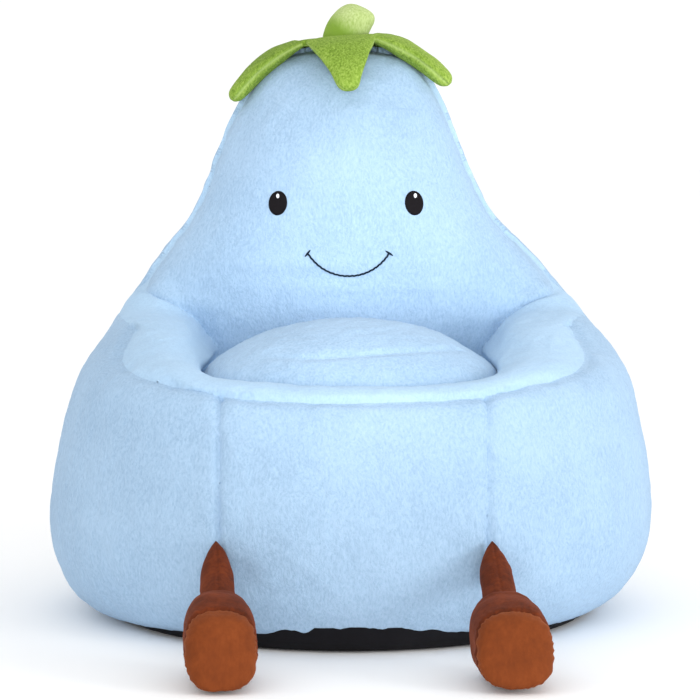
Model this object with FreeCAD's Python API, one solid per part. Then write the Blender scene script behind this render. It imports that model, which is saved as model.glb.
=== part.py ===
"""Plush bean bag chair for a small child, in millimetres: +Z up, the sitter faces -Y, and the origin is the
centre of the flat face of the base. Left and right are as seen from in front, so left is -X. A pear-shaped
cover of sewn panels stands on a black base: a front wall, two sides that run up to the crown, a rear gore with
a child-safe zip, a surround that covers the arms and the front rim, and a face panel. It holds a bead-filled
liner and stuffed arms and back, with a domed seat pad in a well on top. A calyx of five padded leaves with a
stem caps the back, and two stuffed legs hang from the front seams."""

import FreeCAD
import Part
import math
import os

V = FreeCAD.Vector
UP = V(0, 0, 1)
FORWARD = V(0, -1, 0)
FAR = 700.0  # beyond every face of the chair

# ---- driving dimensions ------------------------------------------------------------------------------------
COVER = 5.0  # plush fabric with its pile
SEAM_GAP = 0.6  # between the face panel and the sides behind it
PANEL_GAP = 0.14  # between two outer panels
LINER = 1.0  # woven cloth of the bead liner
FILL_SLACK = 0.3  # between a skin and what fills it
AIR = 0.6  # between one layer and the next
PLAN_POWER = 2.1  # roundness of the plan outlines: 2 is an ellipse, more is squarer

TUB_TOP = 233.0
BACK_FOOT = TUB_TOP + 0.8
# height, half width, front, back and sideways shift of the cover's outer face
TUB = [
    (11.6, 250, -240, 246, -5),
    (18, 272, -246, 252, -4),
    (32, 286, -255, 259, -2),
    (60, 296, -269, 270, 0),
    (100, 300, -277, 277, 0),
    (150, 297, -272, 277, 0),
    (200, 287, -256, 272, 0),
    (TUB_TOP, 276.5, -234, 265, 0),
]
SHOULDERS = [
    (252, 267, -206, 264, 0),
    (268, 256, -154, 264, 0),
    (285, 243, -95, 264, 0),
    (300, 232, -35, 264, 0),
    (310, 225.5, 10, 264, 0),
    (320, 217.5, 26, 263, -1),
]
HEAD = [
    (342, 201.5, 26, 262, -3),
    (384, 165.5, 22, 257, -7),
    (425, 141.5, 24, 250, -8.5),
    (467, 124.5, 34, 240, -8.6),
    (509, 107, 52, 222, -8.8),
    (540, 88, 74, 200, -9),
    (557, 65, 98, 176, -9),
    (566, 28, 126, 150, -9),
]
PEAR = TUB + SHOULDERS + HEAD
# the stuffed back behind the sitter, whose front is the face
BACK = [
    (BACK_FOOT, 205, 60, 262, 0),
    (268, 212, 50, 261, 0),
    (300, 216, 37, 261, 0),
    (320, 215.5, 31, 260, -1),
] + HEAD
# height, half width, front and back of the open space over the seat; the back of the chair closes it behind
HOLLOW = [
    (TUB_TOP, 149, -195, 140),
    (241, 149.5, -203, 140),
    (244, 150, -226, 150),
    (248, 148, -255, 170),
    (256, 147.5, -310, 210),
    (268, 151, -360, 260),
    (284, 160, -400, 260),
    (292, 172, -400, 260),
    (300, 188, -400, 260),
    (308, 212, -400, 260),
    (318, 255, -400, 260),
    (326, 315, -400, 260),
]
HOLLOW_POWER = 2.6
BASE_FLAT_R = 226.0
BASE_LIP_R = 239.0
BASE_LIP_Z = 11.0
BASE_CLOTH = 2.2

# seams: the one that runs down both edges of the face, over the arms and round the rim (y, z); the two
# upright ones in front (x); the rear gore's half width by height, with the shift of its middle
FACE_SEAM_Y = 92.0
TOP_SEAM = [(-245, 231), (-222, 233), (-196, 239), (-175, 242.5), (-142, 248), (-115, 254), (-78, 262.5),
            (-43, 275), (12, 294), (50, 307), (FACE_SEAM_Y, 325)]
FRONT_SEAMS = {"left": -121.0, "right": 127.0}
GORE = [(0, 140, 0), (150, 150, 0), (300, 112, 0), (450, 62, -8.6), (580, 12, -9)]

# seat pad: plan outline of its widest level, and its height, share of that outline
PAD_HALF_WIDTH, PAD_FRONT, PAD_BACK = 146.0, -190.0, 54.0
PAD = [(178, 0.86), (190, 0.97), (215, 1.0), (240, 0.985), (264, 0.84), (281, 0.56), (290, 0.2)]
WELL_FLOOR = 175.0
WELL_GAP = 2.0

ARM_INNER_X = 105.0  # the arms' stuffing lies outside this
ARM_REAR_Y = 150.0
ARM_TOP = 330.0

# crown of the back: a five-sided calyx patch, tipped a little, with leaves on its sides and a stem
CROWN = V(-9, 138, 575)
CROWN_ROLL = 5.0
PATCH_SIDE = 62.0
PATCH_THICK = 7.0
LEAVES = {"front": 0, "left": -72, "rear_left": -144, "rear_right": 144, "right": 72}
LEAF_REACH = 90.0
LEAF_HALF_THICK = 6.0
LEAF_ROOT_GAP = 1.6  # from the patch to the leaf, so that the leaf can lift
LEAF_DROOP = (14.0, 60.0)  # degrees below level at the root and at the tip

# legs, in the leg's own frame: forward from its root on the front wall, up from the floor
LEG_ROOT_X = {"left": -122.5, "right": 129.5}
LEG_ROOT_Y = -256.0
LEG_YAW = 4.3  # degrees; both legs point a little to the right
LEG_R = 14.5
LEG_PIVOT = (30.0, 76.0)
ANKLE = (90.0, 50.0)
# forward, half width, half height, centre height of the foot
FOOT = [(80, 15, 18, 50), (88, 25, 30, 43.5), (100, 31, 37, 39.8), (128, 33, 39, 39.4),
        (150, 32.5, 38.5, 39.3), (162, 30, 36, 38.6)]
SOLE = [(162.5, 30, 36, 38.6), (166, 28.5, 34.5, 38.6), (170, 20, 25, 38.6)]
VELVET = 2.5  # the legs' cloth and the stem's, with its pile
FOOT_ROOM = 0.4  # between the foot and the end of the leg's tube

# zip in the rear panel, an arc about a vertical axis
ZIP_AXIS_Y, ZIP_R, ZIP_Z = -95.0, 372.5, 92.0
ZIP_HALF_ANGLE = 18.5
TAPE_THICK, TAPE_HEIGHT = 1.2, 12.0

EYE_X = {"left": -73.0, "right": 65.0}
EYE_Z, EYE_HALF_WIDTH, EYE_HALF_HEIGHT, EYE_TILT = 404.3, 10.0, 13.1, 8.0
GLINT_RISE, GLINT_R, GLINT_SLACK = 7.2, 2.2, 0.2
SMILE_X, SMILE_CENTRE_Z, SMILE_R, SMILE_HALF_ANGLE, SMILE_WIDTH = -1.5, 378.7, 48.0, 59.0, 2.2
THREAD = 1.4  # thickness of the embroidery
THREAD_GAP = 0.1  # from the plush to the embroidery

parts = {}


# ---- outlines and solids -----------------------------------------------------------------------------------
def outline_point(turn, half_width, front, back, power):
    """A point of a rounded plan outline; turn runs once round from 0 to 2 pi."""
    middle, half_depth = (front + back) / 2, (back - front) / 2
    c, s = math.cos(turn), math.sin(turn)
    x = math.copysign(abs(c) ** (2 / power), c) * half_width
    y = math.copysign(abs(s) ** (2 / power), s) * half_depth
    return x, middle + y


def closed_wire(points):
    curve = Part.BSplineCurve()
    curve.interpolate(Points=points, PeriodicFlag=True)
    return Part.Wire([curve.toShape()])


def plan_wire(z, half_width, front, back, shift=0.0, power=PLAN_POWER):
    count = 32
    turns = [2 * math.pi * k / count for k in range(count)]
    flat = [outline_point(t, half_width, front, back, power) for t in turns]
    return closed_wire([V(x + shift, y, z) for x, y in flat])


def smooth_loft(wires):
    return Part.makeLoft(wires, True, False)


def straight_loft(wires):
    return Part.makeLoft(wires, True, True)


def levels_between(sections, inset=0.0, bottom=None, top=None):
    """Sections drawn in by inset, with the first and last heights moved if asked."""
    moved = [[z, w - inset, f + inset, b - inset, shift] for z, w, f, b, shift in sections]
    if bottom is not None:
        moved[0][0] = bottom
    if top is not None:
        moved[-1][0] = top
    return moved


def plan_loft(sections, **change):
    return straight_loft([plan_wire(*s) for s in levels_between(sections, **change)])


def prism(points, direction):
    """A polygon extruded along direction."""
    return Part.Face(Part.makePolygon(points + points[:1])).extrude(direction)


def slab(x0, x1, y0, y1, z0, z1):
    return Part.makeBox(x1 - x0, y1 - y0, z1 - z0, V(x0, y0, z0))


def ring_sector(centre_y, r0, r1, z0, z1, start, end):
    """Part of a ring about a vertical axis at (0, centre_y), from start to end degrees from the rear."""
    outer = Part.makeCylinder(r1, z1 - z0, V(0, centre_y, z0), UP, end - start)
    inner = Part.makeCylinder(r0, z1 - z0 + 2, V(0, centre_y, z0 - 1), UP, 360)
    sector = outer.cut(inner)
    sector.rotate(V(0, centre_y, 0), UP, 90 + start)
    return sector


def solid_of(shape):
    """The one solid in a shape, or the shape if it holds several."""
    return shape.Solids[0] if len(shape.Solids) == 1 else shape


def largest(shape):
    return max(shape.Solids, key=lambda s: s.Volume)


def add(name, shape):
    shape = solid_of(shape)
    if not shape.Solids or not shape.isValid() or min(s.Volume for s in shape.Solids) <= 0:
        raise ValueError(f"{name} isn't a valid solid")
    parts[name] = shape


# ---- base, liner and seat pad ------------------------------------------------------------------------------
def base_dish(radius_in, floor_z):
    low, high = BASE_FLAT_R - radius_in, BASE_LIP_R - radius_in
    return Part.makeCone(low, high, BASE_LIP_Z - floor_z, V(0, 0, floor_z), UP)


def pad_wire(z, share, grow=0.0):
    middle = (PAD_FRONT + PAD_BACK) / 2
    half_depth = (PAD_BACK - PAD_FRONT) / 2 * share
    return plan_wire(z, PAD_HALF_WIDTH * share + grow, middle - half_depth - grow, middle + half_depth + grow)


def seat_well(grow):
    """The hollow in the tub that holds the pad."""
    return straight_loft([pad_wire(z, 1.0, WELL_GAP + grow) for z in (WELL_FLOOR - grow, TUB_TOP + 5)])


def tub_core(inset):
    """The liner's outer face drawn in by inset, with the seat well cut out of it."""
    foot_r, knee_r = BASE_FLAT_R - BASE_CLOTH - 2 - inset, BASE_LIP_R - BASE_CLOTH - 2 - inset
    wires = [plan_wire(BASE_CLOTH + AIR + inset, foot_r, -foot_r, foot_r, power=2),
             plan_wire(BASE_LIP_Z, knee_r, -knee_r, knee_r, power=2)]
    upper = levels_between(TUB[1:], inset=COVER + AIR + inset, top=TUB_TOP - AIR - inset)
    wires += [plan_wire(*s) for s in upper]
    return straight_loft(wires).cut(seat_well(inset))


def make_base_and_liner():
    add("base_panel", base_dish(0, 0).cut(base_dish(BASE_CLOTH, BASE_CLOTH)))
    add("bead_liner", tub_core(0).cut(tub_core(LINER)))
    add("bead_fill", tub_core(LINER + FILL_SLACK))


def pad_levels(inset):
    """The pad drawn in by inset, measured square to its flanks and to its flat floor and crown."""
    low, high = PAD[0][0] + inset, PAD[-1][0] - inset
    return [(low + (high - low) * (z - PAD[0][0]) / (PAD[-1][0] - PAD[0][0]), share) for z, share in PAD]


def make_seat_pad():
    def pad(inset):
        return straight_loft([pad_wire(z, share, -inset) for z, share in pad_levels(inset)])

    add("seat_pad_cover", pad(0).cut(pad(COVER)))
    add("seat_pad_foam", pad(COVER + AIR))


# ---- the cover's panels and what fills the back and the arms ---------------------------------------------
def under_top_seam(rise):
    """Everything below and behind the top seam, moved up and forward by rise."""
    seam = [V(-FAR, y - rise, z + rise) for y, z in TOP_SEAM]
    low_front = [V(-FAR, -FAR, -1), V(-FAR, -FAR, seam[0].z)]
    high_back = [V(-FAR, FACE_SEAM_Y - rise, FAR), V(-FAR, FAR, FAR), V(-FAR, FAR, -1)]
    return prism(low_front + seam + high_back, V(2 * FAR, 0, 0))


def rear_gore(grow):
    left = [V(shift - half - grow, 0, z) for z, half, shift in GORE]
    right = [V(shift + half + grow, 0, z) for z, half, shift in GORE]
    return prism(left + right[::-1], V(0, FAR, 0))


def pear_inside(inset):
    return plan_loft(PEAR[:-1], inset=inset, bottom=PEAR[0][0] - 1, top=PEAR[-2][0] - inset)


def make_outer_panels():
    """The front wall, the two sides and the rear gore: the pear's skin outside the top seam."""
    skin = plan_loft(PEAR).cut(pear_inside(COVER)).common(under_top_seam(0))
    half = PANEL_GAP / 2
    gore = rear_gore(half)
    wall_room = slab(FRONT_SEAMS["left"] - half, FRONT_SEAMS["right"] + half, -FAR, 0, -1, FAR)
    wall = slab(FRONT_SEAMS["left"] + half, FRONT_SEAMS["right"] - half, -FAR, 0, -1, FAR)
    add("front_wall_panel", largest(skin.common(wall)))
    sides = skin.cut(wall_room).cut(gore)
    add("left_side_panel", largest(sides.common(slab(-FAR, 0, -FAR, FAR, -1, FAR))))
    add("right_side_panel", largest(sides.common(slab(0, FAR, -FAR, FAR, -1, FAR))))
    zip_bottom, zip_top = ZIP_Z - TAPE_HEIGHT - 1, ZIP_Z + TAPE_HEIGHT + 1
    zip_room = ring_sector(ZIP_AXIS_Y, ZIP_R - FILL_SLACK, ZIP_R + 20, zip_bottom, zip_top,
                           -ZIP_HALF_ANGLE - 1, ZIP_HALF_ANGLE + 1)
    add("rear_panel", largest(skin.common(rear_gore(-half)).cut(zip_room)))


def seat_hollow(grow):
    """The open space over the seat, in front of the face seam."""
    wires = [plan_wire(z - (5 + grow if k == 0 else 0), w + grow, f - grow, b + grow, power=HOLLOW_POWER)
             for k, (z, w, f, b) in enumerate(HOLLOW)]
    return straight_loft(wires).common(slab(-FAR, FAR, -FAR, FACE_SEAM_Y + grow, 0, FAR))


def make_surround_and_arms(outer_room, back_room):
    """The one panel over both arms and the front rim, and the arms' stuffing."""
    above = slab(-FAR, FAR, -FAR, FACE_SEAM_Y, BACK_FOOT, ARM_TOP)
    shell = plan_loft(PEAR).common(above).cut(seat_hollow(0))
    inside = pear_inside(COVER).cut(seat_hollow(COVER))
    add("seat_surround", largest(shell.cut(inside).cut(outer_room).cut(back_room)))
    filling = pear_inside(COVER + AIR).cut(seat_hollow(COVER + AIR)).cut(back_room)
    for side, x0, x1 in (("left", -FAR, -ARM_INNER_X), ("right", ARM_INNER_X, FAR)):
        room = slab(x0, x1, -FAR, ARM_REAR_Y, BACK_FOOT + 0.2, ARM_TOP)
        add(f"{side}_arm_stuffing", largest(filling.common(room)))


def make_back(outer_room):
    crown = BACK[-2][0] - COVER
    shell = plan_loft(BACK).cut(plan_loft(BACK[:-1], inset=COVER, bottom=BACK_FOOT - 1, top=crown))
    front = slab(-FAR, FAR, -FAR, FACE_SEAM_Y - SEAM_GAP / 2, BACK_FOOT - 5, FAR)
    add("face_panel", largest(shell.common(front).cut(outer_room)))
    filling = plan_loft(BACK[:-1], inset=COVER + AIR, bottom=BACK_FOOT + 0.2, top=crown - AIR)
    add("back_stuffing", largest(filling.common(pear_inside(COVER + AIR))))


def make_face():
    """Embroidery: thin pieces cut from a skin just outside the face panel."""
    levels = BACK[3:9]
    skin = plan_loft(levels, inset=-THREAD - THREAD_GAP).cut(plan_loft(levels, inset=-THREAD_GAP))
    depth = 130  # from here forward, past the face
    for side, sign in (("left", -1), ("right", 1)):
        oval = Part.Ellipse(V(0, 0, 0), EYE_HALF_HEIGHT, EYE_HALF_WIDTH).toShape()
        eye = Part.Face(Part.Wire([oval])).extrude(V(0, 0, 2 * depth))
        eye.rotate(V(0, 0, 0), UP, 90 + sign * EYE_TILT)
        eye.rotate(V(0, 0, 0), V(1, 0, 0), 90)
        eye.translate(V(EYE_X[side], depth, EYE_Z))
        spot = V(EYE_X[side], depth, EYE_Z + GLINT_RISE)
        glint_room = Part.makeCylinder(GLINT_R + GLINT_SLACK, 2 * depth, spot, FORWARD)
        add(f"{side}_eye", skin.common(eye).cut(glint_room))
        add(f"{side}_eye_glint", skin.common(Part.makeCylinder(GLINT_R, 2 * depth, spot, FORWARD)))
    centre = V(SMILE_X, depth, SMILE_CENTRE_Z)
    ring = Part.makeCylinder(SMILE_R + SMILE_WIDTH / 2, 2 * depth, centre, FORWARD)
    ring = ring.cut(Part.makeCylinder(SMILE_R - SMILE_WIDTH / 2, 2 * depth, centre, FORWARD))
    drop = SMILE_R * math.cos(math.radians(SMILE_HALF_ANGLE))
    mouth = ring.common(slab(-90, 90, -depth, depth, SMILE_CENTRE_Z - 90, SMILE_CENTRE_Z - drop))
    for sign in (-1, 1):
        x = SMILE_X + sign * SMILE_R * math.sin(math.radians(SMILE_HALF_ANGLE))
        tick = slab(-4, 4, -depth, depth, -SMILE_WIDTH / 2, SMILE_WIDTH / 2)
        tick.rotate(V(0, 0, 0), V(0, 1, 0), -sign * 42)
        tick.translate(V(x, 0, SMILE_CENTRE_Z - drop))
        mouth = mouth.fuse(tick)
    add("smile_stitching", skin.common(mouth))


# ---- calyx and stem ----------------------------------------------------------------------------------------
def apothem():
    return PATCH_SIDE / 2 / math.tan(math.pi / 5)


def crown_tipped(shape):
    shape.rotate(V(0, 0, 0), V(0, 1, 0), -CROWN_ROLL)
    shape.translate(CROWN)
    return shape


def leaf_solid(angle, inset):
    """A padded leaf that leaves the patch level and droops, in the crown's own frame."""
    stations = 8
    step = (LEAF_REACH - 2 * inset) / (stations - 1)
    along, up = apothem() + LEAF_ROOT_GAP + inset, 0.0
    wires = []
    for k in range(stations):
        s = k / (stations - 1)
        droop = math.radians(LEAF_DROOP[0] + (LEAF_DROOP[1] - LEAF_DROOP[0]) * s)
        half_width = PATCH_SIDE / 2 * (1 - 0.8 * s**1.3) - 2.5 - inset
        half_thick = 1.6 + (LEAF_HALF_THICK - 1.6) * math.sin(math.pi * s) - inset
        wires.append(closed_wire([
            V(half_width * math.cos(t), -along - half_thick * math.sin(t) * math.sin(droop),
              up + half_thick * math.sin(t) * math.cos(droop))
            for t in [2 * math.pi * i / 12 for i in range(12)]
        ]))
        along += step * math.cos(droop)
        up -= step * math.sin(droop)
    leaf = smooth_loft(wires)
    leaf.rotate(V(0, 0, 0), UP, angle)
    return crown_tipped(leaf)


def make_crown():
    corners = [(math.radians(-90 + 36 + 72 * k), PATCH_SIDE / 2 / math.sin(math.pi / 5)) for k in range(6)]
    ground = [V(r * math.cos(t), r * math.sin(t), -PATCH_THICK / 2) for t, r in corners]
    patch = Part.Face(Part.makePolygon(ground)).extrude(V(0, 0, PATCH_THICK))
    patch = patch.makeFillet(2.5, patch.Edges)
    add("calyx_patch", crown_tipped(patch))
    # along X, up, radius and lean of the stem's rings
    rings = [(5, 0, 25, 0), (6, 9, 25, 4), (8, 18, 22.5, 8), (11, 25, 16.5, 14), (13, 29, 8, 18)]

    def stem(inset):
        wires = []
        for x, up, r, lean in rings:
            axis = V(math.sin(math.radians(lean)), 0, math.cos(math.radians(lean)))
            foot = PATCH_THICK / 2 + FILL_SLACK + (inset if up == 0 else 0)
            wires.append(Part.Wire([Part.makeCircle(r - inset, V(x, 0, up * (1 - inset / 40) + foot), axis)]))
        return crown_tipped(smooth_loft(wires))

    add("stem_cover", stem(0).cut(stem(VELVET)))
    add("stem_stuffing", stem(VELVET + 0.5))
    for name, angle in LEAVES.items():
        add(f"{name}_leaf", leaf_solid(angle, 0))


# ---- legs --------------------------------------------------------------------------------------------------
def leg_placed(shape, side):
    """From the leg's frame, where forward is -Y, to its root on the front wall."""
    shape.rotate(V(0, 0, 0), UP, LEG_YAW)
    shape.translate(V(LEG_ROOT_X[side], LEG_ROOT_Y, 0))
    return shape


def foot_wire(forward, half_width, half_height, centre, inset=0.0):
    turns = [2 * math.pi * k / 20 for k in range(20)]
    across, up = half_width - inset, half_height - inset
    return closed_wire([V(across * math.cos(t), -forward, centre + up * math.sin(t)) for t in turns])


def foot_loft(sections, inset=0.0, start=0.0, end=0.0):
    rows = [list(s) for s in sections]
    rows[0][0] += start
    rows[-1][0] -= end
    return smooth_loft([foot_wire(*row, inset) for row in rows])


def leg_tube(radius):
    (f0, z0), (f1, z1) = LEG_PIVOT, ANKLE
    start, run = V(0, -f0, z0), V(0, f0 - f1, z1 - z0)
    return Part.makeSphere(radius, start).fuse(Part.makeCylinder(radius, run.Length, start, run))


def make_leg(side):
    root = [(1.4, 1.4, 19, 86), (6, 4.0, 18.5, 84.5), (13.5, 8.0, 17, 81)]
    add(f"{side}_leg_root", leg_placed(foot_loft(root), side))
    foot = foot_loft(FOOT)
    foot_room = foot_loft(FOOT, inset=-FOOT_ROOM, start=-FOOT_ROOM)
    add(f"{side}_leg_tube", leg_placed(leg_tube(LEG_R).cut(leg_tube(LEG_R - VELVET)).cut(foot_room), side))
    add(f"{side}_leg_stuffing", leg_placed(leg_tube(LEG_R - VELVET - FILL_SLACK).cut(foot_room), side))
    hollow = foot_loft(FOOT, inset=VELVET, start=VELVET, end=-1)
    add(f"{side}_foot_upper", leg_placed(foot.cut(hollow), side))
    stuffed = VELVET + FOOT_ROOM
    add(f"{side}_foot_stuffing", leg_placed(foot_loft(FOOT, inset=stuffed, start=stuffed, end=FOOT_ROOM), side))
    add(f"{side}_foot_sole", leg_placed(foot_loft(SOLE), side))


# ---- zip ---------------------------------------------------------------------------------------------------
def make_zip():
    tape_out = ZIP_R + TAPE_THICK
    end = ZIP_HALF_ANGLE

    def band(r0, r1, z0, z1, start=-end, stop=end):
        return ring_sector(ZIP_AXIS_Y, r0, r1, ZIP_Z + z0, ZIP_Z + z1, start, stop)

    add("zip_upper_tape", band(ZIP_R, tape_out, 0.15, TAPE_HEIGHT))
    add("zip_lower_tape", band(ZIP_R, tape_out, -TAPE_HEIGHT, -0.15))
    add("zip_coil", band(tape_out + 0.1, tape_out + 2.1, -2.2, 2.2, -end + 0.8, end - 0.8))
    stops = [band(tape_out + 0.1, tape_out + 2.6, -3.2, 3.2, a, a + 0.5) for a in (-end + 0.1, end - 0.6)]
    add("zip_stops", Part.makeCompound(stops))
    rest = -end + 1.2
    body = band(tape_out + 0.5, tape_out + 4.6, -5.2, 5.2, rest, rest + 1.7)
    body = body.cut(band(tape_out, tape_out + 2.6, -2.8, 2.8, rest - 1, rest + 3))
    eye = band(tape_out + 4.5, tape_out + 7.4, -1.2, 1.2, rest + 0.35, rest + 1.35)
    eye = eye.cut(band(tape_out + 4.6, tape_out + 6.3, -2, 2, rest + 0.6, rest + 1.1))
    add("zip_slider", body.fuse(eye))


make_base_and_liner()
make_seat_pad()
beyond_seam = under_top_seam(SEAM_GAP).cut(pear_inside(COVER + AIR))
make_outer_panels()
make_surround_and_arms(beyond_seam, plan_loft(BACK, inset=-0.8, bottom=BACK_FOOT - 2))
make_back(beyond_seam)
make_face()
make_crown()
for leg_side in ("left", "right"):
    make_leg(leg_side)
make_zip()

os.makedirs("parts", exist_ok=True)
for node, shape in parts.items():
    shape.exportStep(f"parts/{node}.step")
    print(f"{node}: {len(shape.Solids)} solid, {shape.Volume / 1000:.1f} cm3, {shape.BoundBox}")
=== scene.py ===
"""The looks of the plush bean bag chair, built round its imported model. The pear-shaped body is one
surface, cut along its seams into the cover's panels. The seat pad, the leaves, the stem and the feet are
padded pieces that cloth simulation inflates. Lengths in the tables and in the shaping functions are
millimetres; the camera, the lights and the stage are in metres."""

import math

import bmesh
import bpy
import numpy as np
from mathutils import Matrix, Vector
from mathutils.bvhtree import BVHTree


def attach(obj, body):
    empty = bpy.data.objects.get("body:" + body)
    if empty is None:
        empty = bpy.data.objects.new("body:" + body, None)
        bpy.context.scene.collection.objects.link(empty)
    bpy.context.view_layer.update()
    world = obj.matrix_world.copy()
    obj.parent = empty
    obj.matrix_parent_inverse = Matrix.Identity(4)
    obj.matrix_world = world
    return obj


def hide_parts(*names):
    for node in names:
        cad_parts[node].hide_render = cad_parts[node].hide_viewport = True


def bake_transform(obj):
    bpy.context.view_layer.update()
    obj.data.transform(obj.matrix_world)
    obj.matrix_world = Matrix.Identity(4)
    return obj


MM = 0.001
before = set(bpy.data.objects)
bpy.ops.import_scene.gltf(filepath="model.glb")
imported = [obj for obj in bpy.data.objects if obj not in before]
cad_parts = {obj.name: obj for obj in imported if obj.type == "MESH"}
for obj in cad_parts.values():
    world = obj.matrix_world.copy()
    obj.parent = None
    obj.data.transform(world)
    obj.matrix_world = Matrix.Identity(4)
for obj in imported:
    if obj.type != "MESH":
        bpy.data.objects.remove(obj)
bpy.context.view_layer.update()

# ---- camera and stage ----
EYE_DISTANCE = 2.7
EYE_HEIGHT = 0.48
FIELD = 0.7  # metres that the picture spans at the object's middle
HORIZON = 0.317  # how far above the picture's middle the eye's level lies, as a share of its width
FLOOR_HALF = 30.0
FLOOR_DROP = 0.0006  # keeps the floor clear of the flat base
SKY = 1.04
# name, place, watts
SOFT_LIGHTS = [("key", (2.7, -1.8, 0.7), 38), ("fill", (0, -3.0, 0.28), 30)]
SOFT_LIGHT_WIDTH = 1.2


def aim(thing, place, target):
    thing.location = place
    thing.rotation_euler = (Vector(target) - Vector(place)).to_track_quat("-Z", "Y").to_euler()


def add_camera():
    data = bpy.data.cameras.new("camera")
    data.sensor_width = 36
    data.lens = 36 * EYE_DISTANCE / FIELD
    camera = bpy.data.objects.new("camera", data)
    bpy.context.scene.collection.objects.link(camera)
    drop = HORIZON * FIELD
    aim(camera, (0, -EYE_DISTANCE, EYE_HEIGHT), (0, 0, EYE_HEIGHT - drop))
    bpy.context.scene.camera = camera


def add_lamp(name, kind, place, target, watts):
    """Adds a light that faces the target, and returns its settings."""
    lamp = bpy.data.objects.new(name, bpy.data.lights.new(name, kind))
    bpy.context.scene.collection.objects.link(lamp)
    lamp.data.energy = watts
    aim(lamp, place, target)
    return lamp.data


def add_stage():
    scene = bpy.context.scene
    scene.view_settings.view_transform = "Standard"
    scene.world = bpy.data.worlds.new("studio")
    scene.world.use_nodes = True
    sky = scene.world.node_tree.nodes["Background"]
    sky.inputs["Color"].default_value = (1, 1, 1, 1)
    sky.inputs["Strength"].default_value = SKY
    far = FLOOR_HALF
    data = bpy.data.meshes.new("floor")
    data.from_pydata([(-far, -far, 0), (far, -far, 0), (far, far, 0), (-far, far, 0)], [], [(0, 1, 2, 3)])
    floor = bpy.data.objects.new("floor", data)
    scene.collection.objects.link(floor)
    floor.location.z = -FLOOR_DROP
    material, _, shader = new_material("floor")
    shader.inputs["Base Color"].default_value = (0.98, 0.98, 0.98, 1)
    shader.inputs["Roughness"].default_value = 0.9
    data.materials.append(material)
    for name, place, watts in SOFT_LIGHTS:
        soft = add_lamp(name, "AREA", place, (0, 0, 0.2), watts)
        soft.shape = "DISK"
        soft.size = SOFT_LIGHT_WIDTH
    spot = add_lamp("seat", "SPOT", (0, -2.9, 0.72), (0, 0.04, 0.33), 235)  # into the shaded seat
    spot.spot_size = math.radians(7.8)
    spot.spot_blend = 1
    spot.shadow_soft_size = 0.15


# ---- curves and fields ----
def curve(points):
    """A smooth function through (key, value) points, level beyond its ends."""
    key, value = np.array(points, float).T
    slope = np.gradient(value, key)
    fine = np.linspace(key[0], key[-1], 900)
    i = np.clip(np.searchsorted(key, fine) - 1, 0, len(key) - 2)
    gap = key[i + 1] - key[i]
    t = (fine - key[i]) / gap
    smooth = t * t * (3 - 2 * t)
    bend = gap * ((t**3 - 2 * t * t + t) * slope[i] + (t**3 - t * t) * slope[i + 1])
    read = (1 - smooth) * value[i] + smooth * value[i + 1] + bend
    return lambda q: np.interp(q, fine, read)


def ease(low, high, q):
    """0 below low, 1 above high, smooth between."""
    t = np.clip((q - low) / (high - low), 0, 1)
    return t * t * (3 - 2 * t)


def soft_min(a, b, width):
    overlap = np.maximum(width - np.abs(a - b), 0) / width
    return np.minimum(a, b) - overlap * overlap * width / 4


def soft_max(a, b, width):
    return -soft_min(-a, -b, width)


LATTICE_MIX = (73856093, 19349663, 83492791)  # scrambles a lattice corner's place into its value


def noise_field(points, size, seed):
    """Smooth noise from -1 to 1 with features about size across; points is an array of rows."""
    q = np.asarray(points, float) / size + 137.0 * seed
    cell = np.floor(q).astype(np.int64)
    t = q - cell
    t = t * t * t * (t * (6 * t - 15) + 10)
    total = np.zeros(len(q))
    for corner in np.ndindex(2, 2, 2):
        lattice = cell + corner
        i, j, k = (lattice * LATTICE_MIX).T
        mixed = i ^ j ^ k ^ (seed * 7919)
        mixed = (mixed ^ (mixed >> 13)) * 1274126177 & 0x7FFFFFFF
        mixed = mixed ^ (mixed >> 16)
        value = (mixed & 0xFFFF) / 32767.5 - 1
        weight = np.prod(np.where(corner, t, 1 - t), axis=1)
        total += weight * value
    return total


def outline_gap(x, y, half_width, front, back, power):
    """How far (x, y) lies outside a rounded plan outline, measured from its middle; negative inside."""
    middle, half_depth = (front + back) / 2, (back - front) / 2
    share = ((np.abs(x) / half_width) ** power + (np.abs(y - middle) / half_depth) ** power) ** (1 / power)
    r = np.hypot(x, y - middle)
    return r - r / np.maximum(share, 1e-4)


# ---- the body's surface ----
# height, value
LEAN = curve([(0, -6), (20, -4), (50, -1), (80, 0), (310, 0), (330, -2), (362, -5), (404, -8.5), (570, -9)])
HEAD_HALF_WIDTH = [(323, 215), (341, 202), (362, 184.6), (383, 166), (404, 152), (425, 141.5), (446, 133),
                   (467, 124.5), (488, 116), (509, 107), (530, 96), (545, 86), (556, 73), (564, 54),
                   (568, 36), (571, 10)]
HALF_WIDTH = curve([(0, 240), (4, 247), (10, 257), (28, 278), (48, 290), (68, 297.5), (98, 300.5), (128, 299),
                    (168, 294), (188, 290), (208, 285), (228, 279), (248, 269.5), (268, 256), (288, 241),
                    (308, 227)] + HEAD_HALF_WIDTH)
HEAD_FRONT = [(342, 26), (384, 22), (425, 24), (467, 34), (509, 52), (540, 74), (560, 104), (571, 132)]
FRONT = curve([(0, -248), (19, -256), (40, -266), (65, -273), (90, -277), (120, -277), (150, -272),
               (180, -263), (200, -256), (215, -249), (228, -240), (240, -226), (252, -206), (266, -160),
               (285, -95), (300, -35), (310, 10), (320, 26)] + HEAD_FRONT)
BACK = curve([(0, 234), (19, 247), (40, 262), (65, 271), (90, 276), (150, 277), (200, 272), (240, 264),
              (300, 264), (342, 262), (384, 257), (425, 250), (467, 240), (509, 222), (540, 200), (560, 170),
              (571, 144)])
ROUNDNESS = curve([(0, 2.0), (40, 2.08), (200, 2.12), (250, 2.3), (300, 2.5), (340, 2.2), (570, 2.05)])
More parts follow.
